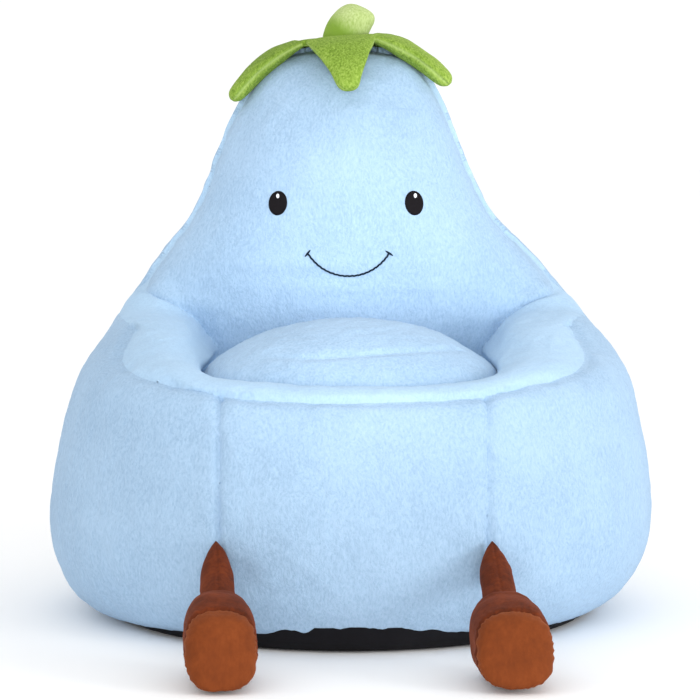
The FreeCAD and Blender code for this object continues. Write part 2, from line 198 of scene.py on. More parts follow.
FACE_HALF_WIDTH = curve([(170, 190), (235, 205), (268, 220), (290, 231), (304, 228), (315, 220)]
                        + HEAD_HALF_WIDTH)
FACE_FRONT = curve([(170, 66), (235, 60), (260, 51), (300, 37)] + HEAD_FRONT)
WELL_HALF_WIDTH = curve([(170, 150.5), (236, 151), (244, 148), (250, 144), (258, 149), (268, 158), (276, 164),
                         (284, 173), (290, 185), (296, 205), (302, 232), (310, 270), (330, 310)])
WELL_FRONT = curve([(170, -193), (238, -195), (243, -203), (247, -224), (252, -258), (260, -310), (270, -360),
                    (284, -400)])
WELL_REAR = curve([(170, 64), (236, 90), (243, 180), (250, 260)])
WELL_POWER = curve([(170, 2.5), (238, 2.5), (248, 3.4)])
WELL_TAPER = curve([(-200, 0.05), (-150, 0.035), (-100, 0.005), (-50, -0.035), (0, -0.05), (60, -0.05)])
WELL_STOP = 100.0  # the open space ends here, inside the back
WELL_FLOOR = 176.0
CROWN_TOP = 569.0
GRID = 6.0  # spacing of the grid that the surface is found on


def hem_height(x, y):
    """Height of the cover's lower edge: it shows the black base in front and hides it at the sides."""
    turn = np.degrees(np.arctan2(np.abs(x), -y))
    return 2 + 8 * (1 - ease(14, 66, turn))


def body_fields(x, y, z, step):
    """The shell with its seat well, and the back, as distances on a grid."""
    def distance(field):
        slope = np.sqrt(sum(g * g for g in np.gradient(field, step)))
        return field / np.maximum(slope, 0.6)

    side = x - LEAN(z)
    pear = distance(outline_gap(side, y, HALF_WIDTH(z), FRONT(z), BACK(z), ROUNDNESS(z)))
    pear = soft_max(pear, z - CROWN_TOP, 16)
    pear = soft_max(pear, hem_height(x, y) - z, 12)
    well_half = WELL_HALF_WIDTH(z) * (1 + WELL_TAPER(y) * ease(238, 248, z))
    well = distance(outline_gap(x, y, well_half, WELL_FRONT(z), WELL_REAR(z), WELL_POWER(z)))
    well = soft_max(soft_max(well, WELL_FLOOR - z, 10), y - WELL_STOP, 24)
    edge = 16 + 14 * ease(-200, -90, y)
    shell = soft_max(pear, -well, edge)
    back = distance(outline_gap(side, y, FACE_HALF_WIDTH(z), FACE_FRONT(z), BACK(z) - 3, 2.12))
    back = soft_max(soft_max(back, pear, 6), 160 - z, 8)
    join = 7 + 46 * ease(154, 202, np.abs(side)) * (1 - ease(316, 344, z))
    body = soft_max(soft_min(shell, back, join), pear, 3)
    return shell, back, body, well


def surface_net(field, origin, step):
    """Corners and four-sided faces of the surface where field is zero, one corner in each cell it crosses."""
    inside = field < 0
    shape = np.array(field.shape) - 1
    total, count = np.zeros((*shape, 3)), np.zeros(shape, int)

    def block(array, corner):
        return array[tuple(slice(c, c + n) for c, n in zip(corner, shape))]

    for a in np.ndindex(2, 2, 2):
        for axis in range(3):
            if a[axis]:
                continue
            b = tuple(v + (k == axis) for k, v in enumerate(a))
            va, vb = block(field, a), block(field, b)
            crossed = (va < 0) != (vb < 0)
            t = np.where(crossed, va / np.where(crossed, va - vb, 1), 0)
            point = np.array(a) + t[..., None] * (np.array(b) - np.array(a))
            total += np.where(crossed[..., None], point, 0)
            count += crossed
    used = count > 0
    index = -np.ones(shape, int)
    index[used] = np.arange(used.sum())
    cells = np.argwhere(used)
    points = (cells + total[used] / count[used][:, None]) * step + origin
    faces = []
    for axis in range(3):
        u, v = (axis + 1) % 3, (axis + 2) % 3
        low = np.moveaxis(inside, (axis, u, v), (0, 1, 2))
        grid = np.moveaxis(index, (axis, u, v), (0, 1, 2))
        first, second = low[:-1, 1:-1, 1:-1], low[1:, 1:-1, 1:-1]
        i, j, k = np.nonzero(first != second)
        quad = np.stack([grid[i, j, k], grid[i, j + 1, k], grid[i, j + 1, k + 1], grid[i, j, k + 1]], axis=1)
        flip = ~first[i, j, k]
        quad[flip] = quad[flip][:, ::-1]
        faces.append(quad)
    return points, np.concatenate(faces)


# ---- meshes ----
def mesh_object(name, points, faces):
    """A smooth mesh object from points in millimetres."""
    data = bpy.data.meshes.new(name)
    data.from_pydata((np.asarray(points, float) * MM).tolist(), [], [list(map(int, f)) for f in faces])
    data.validate()
    data.shade_smooth()
    thing = bpy.data.objects.new(name, data)
    bpy.context.scene.collection.objects.link(thing)
    return thing


def read_vectors(rows, name):
    values = np.empty(len(rows) * 3)
    rows.foreach_get(name, values)
    return values.reshape(-1, 3)


def points_of(thing):
    return read_vectors(thing.data.vertices, "co") / MM


def normals_of(thing):
    return read_vectors(thing.data.vertex_normals, "vector")


def set_points(thing, points):
    thing.data.vertices.foreach_set("co", (np.asarray(points) * MM).ravel())
    thing.data.update()


def faces_of(thing):
    """The mesh's four-sided faces as an array."""
    index = np.empty(len(thing.data.loops), int)
    thing.data.loops.foreach_get("vertex_index", index)
    return index.reshape(-1, 4)


def push_out(thing, amount):
    """Moves each point along its normal by its own amount."""
    set_points(thing, points_of(thing) + normals_of(thing) * amount[:, None])


def mark_edge(thing, value):
    """Gives each point the value that plush() reads to bring in its edge colour."""
    thing.data.attributes.new("edge", "FLOAT", "POINT").data.foreach_set("value", value)


def apply_modifiers(thing):
    graph = bpy.context.evaluated_depsgraph_get()
    data = bpy.data.meshes.new_from_object(thing.evaluated_get(graph))
    old = thing.data
    thing.modifiers.clear()
    thing.data = data
    bpy.data.meshes.remove(old)
    return thing


def subdivide(thing, levels=1):
    modifier = thing.modifiers.new("subdivide", "SUBSURF")
    modifier.levels = modifier.render_levels = levels
    return apply_modifiers(thing)


def relax(points, faces, rounds):
    """Moves each corner of a four-sided mesh halfway to the mean of its neighbours."""
    a = faces.ravel()
    b = np.roll(faces, -1, axis=1).ravel()
    count = np.bincount(a, minlength=len(points)) + np.bincount(b, minlength=len(points))
    for _ in range(rounds):
        mean = np.stack([np.bincount(a, points[b, k], len(points)) + np.bincount(b, points[a, k], len(points))
                         for k in range(3)], axis=1) / np.maximum(count, 1)[:, None]
        points = points + 0.5 * (mean - points)
    return points


def thicken(thing, thickness):
    """Makes a cloth sheet of a surface: a second face behind it, closed round the edge."""
    modifier = thing.modifiers.new("thickness", "SOLIDIFY")
    modifier.thickness = thickness * MM
    modifier.offset = -1
    apply_modifiers(thing)
    thing.data.set_sharp_from_angle(angle=math.radians(60))
    return thing


# ---- the cover's panels ----
TOP_SEAM = curve([(-320, 230), (-237, 231), (-222, 233), (-196, 239), (-175, 242.5), (-142, 248), (-115, 254),
                  (-78, 262.5), (-43, 275), (12, 294), (50, 307), (78, 322), (88, 345), (92, 400)])
FACE_SEAM_Y = curve([(0, 92), (515, 92), (540, 98), (556, 112), (566, 134), (575, 150)])
FRONT_SEAMS = {"left": -121.0, "right": 127.0}
REAR_SEAM = curve([(0, 140), (150, 150), (300, 112), (450, 62), (570, 16)])
GROOVE_DEPTH, GROOVE_WIDTH = 4.2, 3.4
ZIP_Z, ZIP_BED = 92.0, 4.5  # the zip lies in a shallow bed across the rear
LEG_ROOT = {"left": (-122.5, -256.0), "right": (129.5, -256.0)}
LEG_PUCKER, LEG_PUCKER_AT = 5.0, (19.0, 74.0)  # the wall draws in beside each leg, to the right of its root


def seam_gaps(points, fields):
    """Signed distance from each seam line of points on the surface, negative on one panel's side."""
    x, y, z = points.T
    shell, back, well = fields
    inner = np.maximum(y - FACE_SEAM_Y(z), (TOP_SEAM(y) - z) * 0.9)
    inner = np.where((well < 24) & (z > 150), -60.0, inner)
    return {"top": inner, "face": back - np.maximum(shell, -60), "left": x - FRONT_SEAMS["left"],
            "right": x - FRONT_SEAMS["right"], "rear": np.abs(x - LEAN(z)) - REAR_SEAM(z)}


def panel_names(gaps, y):
    """The panel that each point belongs to."""
    name = np.where(gaps["left"] + gaps["right"] < 0, "left_side_panel", "right_side_panel")
    name = np.where((gaps["rear"] < 0) & (y >= 0), "rear_panel", name)
    name = np.where((y < 0) & (gaps["left"] > 0) & (gaps["right"] < 0), "front_wall_panel", name)
    return np.where(gaps["top"] < 0, np.where(gaps["face"] < 0, "face_panel", "seat_surround"), name)


def sample(field, points, origin, step):
    """Reads a field on the grid at points between its nodes."""
    q = np.clip((points - origin) / step, 0, np.array(field.shape) - 1.001)
    cell = q.astype(int)
    t = q - cell
    total = 0
    for corner in np.ndindex(2, 2, 2):
        weight = np.prod(np.where(corner, t, 1 - t), axis=1)
        i, j, k = (cell + corner).T
        total = total + weight * field[i, j, k]
    return total


def snap_to_seam(points, normals, edges, name, applies, gaps_at):
    """Slides points along the surface onto a seam, until every edge that crosses it has one end on it."""
    reach, nudge = 3.0, 0.5
    gap = gaps_at(points)[name]
    slope = np.stack([(gaps_at(points + nudge * np.eye(3)[k])[name] - gap) / nudge for k in range(3)], axis=1)
    slope -= (slope * normals).sum(axis=1, keepdims=True) * normals
    size = np.maximum(np.linalg.norm(slope, axis=1), 0.25)
    across = applies[edges].all(axis=1) & ((gap[edges[:, 0]] < 0) != (gap[edges[:, 1]] < 0))
    partners = {}
    for a, b in edges[across].tolist():
        partners.setdefault(a, set()).add(b)
        partners.setdefault(b, set()).add(a)
    way = np.abs(gap) / size
    moved = set()
    for point in sorted(partners, key=lambda p: way[p]):
        if way[point] < reach and not partners[point] <= moved:
            moved.add(point)
    index = np.array(sorted(moved), int)
    points = points.copy()
    points[index] -= (gap[index] / size[index] ** 2)[:, None] * slope[index]
    return points


def cut_along_seams(faces, gaps):
    """Splits the faces that a seam crosses from corner to corner: the whole faces, then the halves."""
    touch = 0.15
    first, second = np.zeros(len(faces), bool), np.zeros(len(faces), bool)
    for gap in gaps.values():
        on = (np.abs(gap) < touch)[faces]
        first |= on[:, 0] & on[:, 2]
        second |= on[:, 1] & on[:, 3]
    second &= ~first
    halves = [faces[first][:, [0, 1, 2]], faces[first][:, [0, 2, 3]], faces[second][:, [1, 2, 3]],
              faces[second][:, [1, 3, 0]]]
    return faces[~first & ~second], np.concatenate(halves)


def relief(points, gaps, well):
    """How far the cover stands out at each point: soft waves, short pile, sunk seams with a slight swell
    beside them, the zip's bed, and the pucker beside each leg. The sides of the seat well stay calm."""
    x, y, z = points.T
    rise = noise_field(points, 95, 1) * 2.2 + noise_field(points, 48, 2) * 1.1
    rise += noise_field(points * [1, 1, 0.7], 8.0, 3) * 0.55 + noise_field(points, 15, 4) * 0.4
    pucker = 1 + 0.45 * noise_field(points, 17, 5)
    outer = gaps["top"] > 0
    for name, depth, where in (("top", 1.0, z < 560), ("left", 0.8, outer & (y < 0)),
                               ("right", 0.8, outer & (y < 0)), ("rear", 0.9, outer & (y > 0)),
                               ("face", 0.9, ~outer)):
        gap = np.abs(gaps[name])
        dip = np.exp(-((gap / GROOVE_WIDTH) ** 2)) * pucker * GROOVE_DEPTH
        swell = np.exp(-(((gap - 14) / 9) ** 2)) * 0.9
        rise += np.where(where, (swell - dip) * depth, 0)
    zip_bed = (1 - ease(9, 13, np.abs(z - ZIP_Z))) * (1 - ease(117, 123, np.abs(x)))
    rise -= ZIP_BED * zip_bed * (y > 150)
    for root in LEG_ROOT.values():
        beside = np.hypot(x - root[0] - LEG_PUCKER_AT[0], (z - LEG_PUCKER_AT[1]) * 0.75)
        rise -= LEG_PUCKER * np.exp(-((beside / 13) ** 2)) * (y < 0)
    return rise * (1 - 0.75 * (1 - ease(20, 40, well)) * (1 - ease(225, 240, z)))


def body_panels():
    """The body's panels as open sheets, by name, and the fields that they were found from."""
    low = np.array([-318.0, -294.0, -12.0])
    high = np.array([318.0, 294.0, 590.0])
    x, y, z = np.meshgrid(*[np.arange(a, b, GRID) for a, b in zip(low, high)], indexing="ij")
    shell, back, body, well = body_fields(x, y, z, GRID)
    points, faces = surface_net(body, low, GRID)
    whole = subdivide(mesh_object("body", relax(points, faces, 3), faces), 1)
    points, faces, normals = points_of(whole), faces_of(whole), normals_of(whole)
    bpy.data.objects.remove(whole)

    def gaps_at(p):
        return seam_gaps(p, [sample(f, p, low, GRID) for f in (shell, back, well)])

    points -= sample(body, points, low, GRID)[:, None] * normals * 0.9
    edges = np.stack([faces.ravel(), np.roll(faces, -1, axis=1).ravel()], axis=1)
    edges = np.unique(np.sort(edges, axis=1), axis=0)
    covered, ahead = gaps_at(points)["top"] < 3, points[:, 1] < 0
    for name, applies in (("face", covered), ("left", ~covered & ahead), ("right", ~covered & ahead),
                          ("rear", ~covered & ~ahead), ("top", np.ones_like(covered))):
        points = snap_to_seam(points, normals, edges, name, applies, gaps_at)
    gaps = gaps_at(points)
    shift = normals * relief(points, gaps, sample(well, points, low, GRID))[:, None]
    shift[:, 2] *= 0.15 + 0.85 * ease(12, 30, points[:, 2])  # the hem runs level
    points = points + shift
    fringe = noise_field(points, 5, 6) * 0.5
    points[:, 2] += fringe * (1 - ease(22, 32, points[:, 2])) * (normals[:, 2] < 0.2)
    kept = {}
    for group in cut_along_seams(faces, gaps):
        centre = points[group].mean(axis=1)
        names = panel_names({n: g[group].mean(axis=1) for n, g in gaps.items()}, centre[:, 1])
        under = (centre[:, 2] < 12) & (np.hypot(centre[:, 0], centre[:, 1]) < 226)
        below_pad = (sample(well, centre, low, GRID) < 12) & (centre[:, 2] < 200)
        for name in sorted(set(names)):
            kept.setdefault(name, []).append(group[(names == name) & ~(under | below_pad)])
    panels = {}
    for name, groups in sorted(kept.items()):
        used = np.unique(np.concatenate([group.ravel() for group in groups]))
        new = np.zeros(len(points), int)
        new[used] = np.arange(len(used))
        panel_faces = [f for group in groups for f in new[group]]
        panels[name] = mesh_object(name + "_plush", points[used], panel_faces)
    return panels, {"shell": shell, "back": back, "body": body, "x": x, "y": y, "z": z, "low": low}


# ---- materials ----
def new_material(name):
    material = bpy.data.materials.new(name)
    material.use_nodes = True
    tree = material.node_tree
    return material, tree, tree.nodes["Principled BSDF"]


def node(tree, kind, inputs=None, **settings):
    made = tree.nodes.new("ShaderNode" + kind)
    for key, value in settings.items():
        setattr(made, key, value)
    for key, value in (inputs or {}).items():
        if isinstance(value, bpy.types.NodeSocket):
            tree.links.new(value, made.inputs[key])
        else:
            made.inputs[key].default_value = value
    return made


def ramp(tree, factor, stops):
    made = node(tree, "ValToRGB", {"Fac": factor})
    band = made.color_ramp
    while len(band.elements) < len(stops):
        band.elements.new(0.5)
    for element, (place, colour) in zip(band.elements, stops):
        element.position = place
        element.color = (*colour, 1)
    return made.outputs["Color"]


def rgb(red, green, blue):
    """Display values from 0 to 255 as linear light."""
    def linear(v):
        v /= 255
        return v / 12.92 if v <= 0.04045 else ((v + 0.055) / 1.055) ** 2.4

    return tuple(linear(v) for v in (red, green, blue))


def noise_texture(tree, place, scale, detail, roughness=0.5):
    inputs = {"Vector": place, "Scale": scale, "Detail": detail, "Roughness": roughness}
    return node(tree, "TexNoise", inputs).outputs["Fac"]


def wave_texture(tree, place, scale, distortion, way):
    inputs = {"Vector": place, "Scale": scale, "Distortion": distortion, "Detail": 1}
    return node(tree, "TexWave", inputs, bands_direction=way).outputs["Fac"]


def maths(tree, operation, *values):
    return node(tree, "Math", dict(enumerate(values)), operation=operation).outputs[0]


def surface(tree, shader, colour, height, bump, depth, settings):
    """Joins a colour and a height to the shader, and sets its sockets that are the same all over."""
    tree.links.new(colour, shader.inputs["Base Color"])
    raised = node(tree, "Bump", {"Strength": bump, "Distance": depth, "Height": height})
    tree.links.new(raised.outputs["Normal"], shader.inputs["Normal"])
    for name, value in settings.items():
        shader.inputs[name].default_value = value


def plush(name, deep, mid, light, clump=430, bump=0.5, sheen=0.2, tint=(1, 1, 1), edge=None):
    """Short plush pile: clumps of fibres with painted shade in the gaps between them, broad patches of
    brushed pile, and sheen. With edge, that colour takes over where the mesh's own "edge" value is high."""
    material, tree, shader = new_material(name)
    place = node(tree, "TexCoord").outputs["Object"]
    laid = node(tree, "Mapping", {"Vector": place, "Scale": (1, 1, 0.5)}).outputs["Vector"]
    bend = node(tree, "TexNoise", {"Vector": place, "Scale": 26, "Detail": 2}).outputs["Color"]
    swirl = node(tree, "VectorMath", {0: bend, 1: (0.012, 0.012, 0.012)}, operation="MULTIPLY").outputs[0]
    laid = node(tree, "VectorMath", {0: laid, 1: swirl}, operation="ADD").outputs[0]
    tufts = noise_texture(tree, laid, clump, 3, 0.62)
    fibres = noise_texture(tree, laid, clump * 2.6, 2, 0.7)
    mixed = maths(tree, "MULTIPLY", tufts, 0.55)
    mixed = maths(tree, "MULTIPLY_ADD", fibres, 0.2, mixed)
    mixed = maths(tree, "MULTIPLY_ADD", noise_texture(tree, place, 13, 3), 0.25, mixed)
    # painted shade: the ramp darkens the gaps between tufts, where the bump's height (tufts and fibres) is
    # low; the broad noise adds patches of real tone
    colour = ramp(tree, mixed, [(0.38, deep), (0.5, mid), (0.62, light)])
    if edge:
        along = node(tree, "Attribute", attribute_name="edge").outputs["Fac"]
        colour = node(tree, "Mix", {"Factor": along, 6: colour, 7: (*edge, 1)}, data_type="RGBA").outputs[2]
    surface(tree, shader, colour, maths(tree, "MULTIPLY_ADD", fibres, 0.45, tufts), bump, 0.0018,
            {"Roughness": 0.95, "Specular IOR Level": 0.1, "Sheen Weight": sheen, "Sheen Roughness": 0.5,
             "Sheen Tint": (*tint, 1)})
    return material


def velvet(name, deep, mid, light, tint, streak=(1, 1, 0.16)):
    """Brushed velvet: soft streaks of lighter and darker pile, fine grain, and a glow at grazing angles."""
    material, tree, shader = new_material(name)
    place = node(tree, "TexCoord").outputs["Object"]
    laid = node(tree, "Mapping", {"Vector": place, "Scale": streak}).outputs["Vector"]
    streaks = noise_texture(tree, laid, 260, 4, 0.65)
    mixed = maths(tree, "MULTIPLY", streaks, 0.5)
    mixed = maths(tree, "MULTIPLY_ADD", noise_texture(tree, place, 48, 3), 0.5, mixed)
    colour = ramp(tree, mixed, [(0.36, deep), (0.5, mid), (0.66, light)])
    height = maths(tree, "MULTIPLY_ADD", noise_texture(tree, place, 1500, 2), 0.4, streaks)
    surface(tree, shader, colour, height, 0.3, 0.0008,
            {"Roughness": 0.85, "Specular IOR Level": 0.2, "Sheen Weight": 0.3, "Sheen Roughness": 0.35,
             "Sheen Tint": (*tint, 1)})
    return material


def dress(thing, material):
    thing.data.materials.clear()
    thing.data.materials.append(material)


def cloth_weave(name, base, dark, scale=900, bump=0.4, roughness=0.85, metallic=0.0, sheen=0.2):
    """Fine crossed threads, for lining, tape and non-woven cloth, and brushed metal."""
    material, tree, shader = new_material(name)
    place = node(tree, "TexCoord").outputs["Object"]
    threads = maths(tree, "ADD", *[wave_texture(tree, place, scale, 1.5, way) for way in "XZ"])
    mixed = maths(tree, "MULTIPLY_ADD", threads, 0.3, noise_texture(tree, place, 40, 4))
    surface(tree, shader, ramp(tree, mixed, [(0.3, dark), (1.0, base)]), threads, bump, 0.0006,
            {"Roughness": roughness, "Metallic": metallic, "Sheen Weight": sheen,
             "Specular IOR Level": 0.5 if metallic else 0.2})
    return material


def satin_thread(name, base, light, turn=0.0, scale=420, roughness=0.42):
    """Rows of embroidery thread side by side, with the gloss of rayon."""
    material, tree, shader = new_material(name)
    place = node(tree, "TexCoord").outputs["Object"]
    laid = node(tree, "Mapping", {"Vector": place, "Rotation": (0, turn, 0)}).outputs["Vector"]
    rows = wave_texture(tree, laid, scale, 0.6, "X")
    mixed = maths(tree, "MULTIPLY_ADD", rows, 0.6, noise_texture(tree, place, 700, 2))
    surface(tree, shader, ramp(tree, mixed, [(0.3, base), (1.0, light)]), rows, 0.5, 0.0005,
            {"Roughness": roughness, "Specular IOR Level": 0.1})
    return material


# ---- padded forms ----
CLOTH_FRAMES = 20


def oval(around, power=2.0):
    """x and y round a rounded unit outline: power 2 is a circle, more is squarer."""
    turns = np.linspace(0, 2 * np.pi, around, endpoint=False)
    c, s = np.cos(turns), np.sin(turns)
    return np.sign(c) * np.abs(c) ** (2 / power), np.sign(s) * np.abs(s) ** (2 / power)


def ring_faces(rows, around, first=0):
    """The four-sided faces between rings of points that follow each other."""
    faces = []
    for k in range(rows - 1):
        start = first + k * around
        for i in range(around):
            a, b = start + i, start + (i + 1) % around
            faces.append((a, b, b + around, a + around))
    return faces


def ring_caps(rows, around, first=0):
    last = first + (rows - 1) * around
    return [tuple(range(first, first + around))[::-1], tuple(range(last, last + around))]


def rings_mesh(name, rings):
    """A closed mesh from rings of points, capped at both ends."""
    rows, around = len(rings), len(rings[0])
    return mesh_object(name, np.concatenate(rings), ring_faces(rows, around) + ring_caps(rows, around))


def inflate(thing, voxel, cap):
    """Lets a closed form swell as cloth under pressure, no point moving more than cap. It is remeshed first,
    unless voxel is None."""
    if voxel:
        remesh = thing.modifiers.new("remesh", "REMESH")
        remesh.mode = "VOXEL"
        remesh.voxel_size = voxel * MM
        apply_modifiers(thing)
    before = points_of(thing)
    cloth = thing.modifiers.new("cloth", "CLOTH")
    cloth.settings.quality = 6
    cloth.settings.mass = 0.25
    cloth.settings.use_pressure = True
    cloth.settings.uniform_pressure_force = 4
    cloth.settings.effector_weights.gravity = 0
    scene = bpy.context.scene
    for number in range(1, CLOTH_FRAMES + 1):
        scene.frame_set(number)
    graph = bpy.context.evaluated_depsgraph_get()
    move = read_vectors(thing.evaluated_get(graph).data.vertices, "co") / MM - before
    length = np.linalg.norm(move, axis=1, keepdims=True)
    thing.modifiers.clear()
    scene.frame_set(1)
    set_points(thing, before + move * np.minimum(1, cap / np.maximum(length, 1e-6)))
    return thing


def keep_faces(thing, keep):
    """Deletes the faces that keep, a test of their centres in millimetres, turns down."""
    mesh = bmesh.new()
    mesh.from_mesh(thing.data)
    centres = np.array([f.calc_center_median() for f in mesh.faces]) / MM
    kept = keep(centres)
    bmesh.ops.delete(mesh, geom=[f for f, k in zip(mesh.faces, kept) if not k], context="FACES")
    mesh.to_mesh(thing.data)
    mesh.free()
    return thing


def piece(thing, body, nodes, material):
    dress(thing, material)
    if body:
        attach(thing, body)
    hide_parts(*nodes)
    return thing


# ---- body ----
PALE_SKY = rgb(225, 240, 255)
BLUE = plush("blue_plush", rgb(145, 173, 200), rgb(157, 185, 211), rgb(166, 193, 219), tint=PALE_SKY)
# painted light: the band round the seat gets a lighter blue than the rest of the cover, standing for the
# light on its rolled rim; its smoother pile (less bump) is the fabric's own
BLUE_SMOOTH_LIT = plush("blue_plush_smooth_lit", rgb(159, 188, 214), rgb(167, 196, 221), rgb(173, 201, 225),
                    bump=0.35, tint=PALE_SKY)


def lump(name, field, fields, seed):
    """A stuffed mass inside the cover, from the part of the grid where field is negative."""
    points, faces = surface_net(field, fields["low"], GRID)
    points = relax(points, faces, 4)
    thing = mesh_object(name, points, faces)
    push_out(thing, noise_field(points, 30, seed) * 1.5)
    return thing


def build_body():
    panels, fields = body_panels()
    for name, sheet in panels.items():
        thicken(sheet, 3.0)
        # the band round the seat takes the lighter blue, which is painted light
        material = BLUE_SMOOTH_LIT if name == "seat_surround" else BLUE
        piece(sheet, "chair", [name], material)
    x, y, z = fields["x"], fields["y"], fields["z"]
    lining = cloth_weave("lining", rgb(236, 236, 230), rgb(214, 214, 206))
    fibre = plush("fibre", rgb(214, 214, 210), rgb(232, 232, 228), rgb(246, 246, 243), clump=180, bump=0.8)
    bag = lump("bead_bag", np.maximum(fields["body"] + 9, z - 228), fields, 21)
    piece(bag, "chair", ["bead_liner", "bead_fill"], lining)
    stuffing = lump("back_fibre", np.maximum(fields["back"] + 9, 236 - z), fields, 22)
    piece(stuffing, "chair", ["back_stuffing"], fibre)
    arm = np.maximum(np.maximum(fields["shell"] + 9, 236 - z), np.maximum(6 - fields["back"], y - 150))
    for side, sign in (("left", -1), ("right", 1)):
        filling = lump(f"{side}_arm_fibre", np.maximum(arm, 105 - sign * x), fields, 23)
        piece(filling, "chair", [f"{side}_arm_stuffing"], fibre)


# ---- seat pad ----
PAD_HALF_WIDTH, PAD_FRONT, PAD_BACK = 148.0, -190.0, 54.0
# height, share of the widest outline
PAD = [(180, 0.86), (192, 0.955), (206, 0.99), (222, 1.0), (233, 0.995), (241, 0.975), (248, 0.935),
       (255, 0.875), (261.5, 0.81), (267.5, 0.745), (272.5, 0.68), (277, 0.61), (281, 0.53), (285, 0.44),
       (288, 0.36), (290.5, 0.28), (292.5, 0.2), (294, 0.1)]
FOAM_INSET, FOAM_FOOT, FOAM_SQUASH = 0.06, 188, 0.85


def pad_ring(share, z):
    middle, half_depth = (PAD_FRONT + PAD_BACK) / 2, (PAD_BACK - PAD_FRONT) / 2
    x, y = oval(72, 2.4)
    return np.stack([x * PAD_HALF_WIDTH * share, middle + y * half_depth * share, np.full_like(x, z)], axis=1)


def build_pad():
    pad = subdivide(inflate(rings_mesh("seat_pad", [pad_ring(k, z) for z, k in PAD]), 6, 4), 1)
    points = points_of(pad)
    wave = noise_field(points, 80, 31) * 1.8 + noise_field(points, 40, 32) * 0.8
    fur = noise_field(points, 8, 33) * 0.6 + noise_field(points, 15, 34) * 0.5
    fold_height = 267 + 3 * np.sin(points[:, 0] / 40)
    front = points[:, 1] < -100
    fold = np.exp(-(((points[:, 2] - fold_height) / 2.6) ** 2)) * ease(-90, -40, points[:, 0]) * front
    push_out(pad, wave + fur - 2.2 * fold)
    piece(pad, "chair", ["seat_pad_cover"], BLUE)
    look = plush("foam", rgb(232, 226, 196), rgb(242, 237, 210), rgb(248, 244, 222), clump=260, bump=0.6,
                 sheen=0.05)
    rings = [pad_ring(k - FOAM_INSET, FOAM_FOOT + (z - PAD[0][0]) * FOAM_SQUASH) for z, k in PAD]
    foam = subdivide(rings_mesh("pad_foam", rings), 1)
    piece(foam, "chair", ["seat_pad_foam"], look)


# ---- base ----
def build_base():
    """The black bottom: flat on the floor, turned up all round behind the hem."""
    turns = np.linspace(0, 2 * np.pi, 180, endpoint=False)
    profile = [(6, 2.4), (120, 2.4), (200, 2.4), (224, 2.6), (232, 5), (239, 12), (243, 24), (245.5, 24),
               (245, 14), (243.5, 8), (240.5, 3.5), (236, 0.8), (230, 0), (200, 0), (120, 0), (6, 0)]
    rows = []
    for r, z in profile:
        ripple = 1 + 0.004 * np.sin(turns * 37 + 2 * np.sin(turns * 5)) * (z > 3)
        rise = z + (0.6 * np.sin(turns * 23 + 1.3 * np.cos(turns * 7)) if z > 20 else 0)
        forward = 1 + 0.05 * np.maximum(0, np.cos(turns))
        ripple = ripple * (1 - 0.03 * ease(0, 0.5, -np.cos(turns)))
        rows.append(np.stack([r * ripple * np.sin(turns), -r * ripple * forward * np.cos(turns),
                              np.broadcast_to(rise, turns.shape)], axis=1))
    base = rings_mesh("base_cloth", rows)
    base.data.set_sharp_from_angle(angle=math.radians(50))
    black = cloth_weave("base_cloth", rgb(20, 19, 24), rgb(10, 9, 13), scale=420, bump=0.6, sheen=0.0)
    piece(base, "chair", ["base_panel"], black)


# ---- crown ----
CROWN = np.array([-13.0, 138.0, 570.0])
CROWN_ROLL = math.radians(5)
PATCH_SIDE = 74.0
APOTHEM = PATCH_SIDE / 2 / math.tan(math.pi / 5)
# direction in degrees, reach, droop in degrees at the root and at the tip
LEAVES = {"front": (4, 89, 16, 62), "left": (-72, 92, 19, 52), "rear_left": (-138, 96, 20, 72),
          "rear_right": (134, 104, 20, 72), "right": (72, 92, 22, 54)}
# up, shift right, radius, lean in degrees
STEM = [(-4, 8, 23, 0), (0, 8.6, 24.4, 0), (4, 9.6, 24.6, 1), (9, 11.8, 24.6, 4), (14, 14.6, 24.4, 7),
        (19, 17.6, 23.4, 9), (23.5, 19.8, 21.2, 11), (27.5, 21.2, 18, 12), (30.5, 22.2, 12.8, 13),
        (32.4, 22.8, 7, 13), (33, 23, 3, 13)]


def turned(points, degrees):
    a = math.radians(degrees)
    c, s = math.cos(a), math.sin(a)
    x, y, z = np.asarray(points, float).T
    return np.stack([x * c - y * s, x * s + y * c, z], axis=1)


def crown_tipped(points):
    x, y, z = np.asarray(points, float).T
    c, s = math.cos(-CROWN_ROLL), math.sin(-CROWN_ROLL)
    return np.stack([x * c + z * s, y, -x * s + z * c], axis=1) + CROWN


def leaf_rings(reach, droop_root, droop_tip):
    """A thick padded leaf of two sewn layers that droops along -Y in the crown's own frame, from its root on
    the patch. The seam runs round its edge, where it pinches the padding."""
    count, around = 27, 32
    step = reach / (count - 1)
    along, up = APOTHEM - 6.0, 0.0
    rings, pinch = [], []
    turns = np.linspace(0, 2 * np.pi, around, endpoint=False)
    from_edge = np.abs(np.sin(turns))
    for k in range(count):
        s = k / (count - 1)
        droop = math.radians(droop_root + (droop_tip - droop_root) * s)
        end = math.sqrt(max(0.03, 1 - (max(0.0, s - 0.9) / 0.103) ** 2))
        width = (37.5 + (9 - 37.5) * s**1.35) * (0.35 + 0.65 * end)
        thick = (5 + 3 * float(ease(0, 0.35, s))) * end
        x = width * np.sign(np.cos(turns)) * np.abs(np.cos(turns)) ** 0.9
        rise = thick * np.sign(np.sin(turns)) * from_edge ** 0.8
        rings.append(np.stack([x, -along - rise * math.sin(droop), up + rise * math.cos(droop)], axis=1))
        pinch.append(np.exp(-((from_edge / 0.16) ** 2)))
        along += step * math.cos(droop)
        up -= step * math.sin(droop)
    return rings, np.concatenate(pinch)


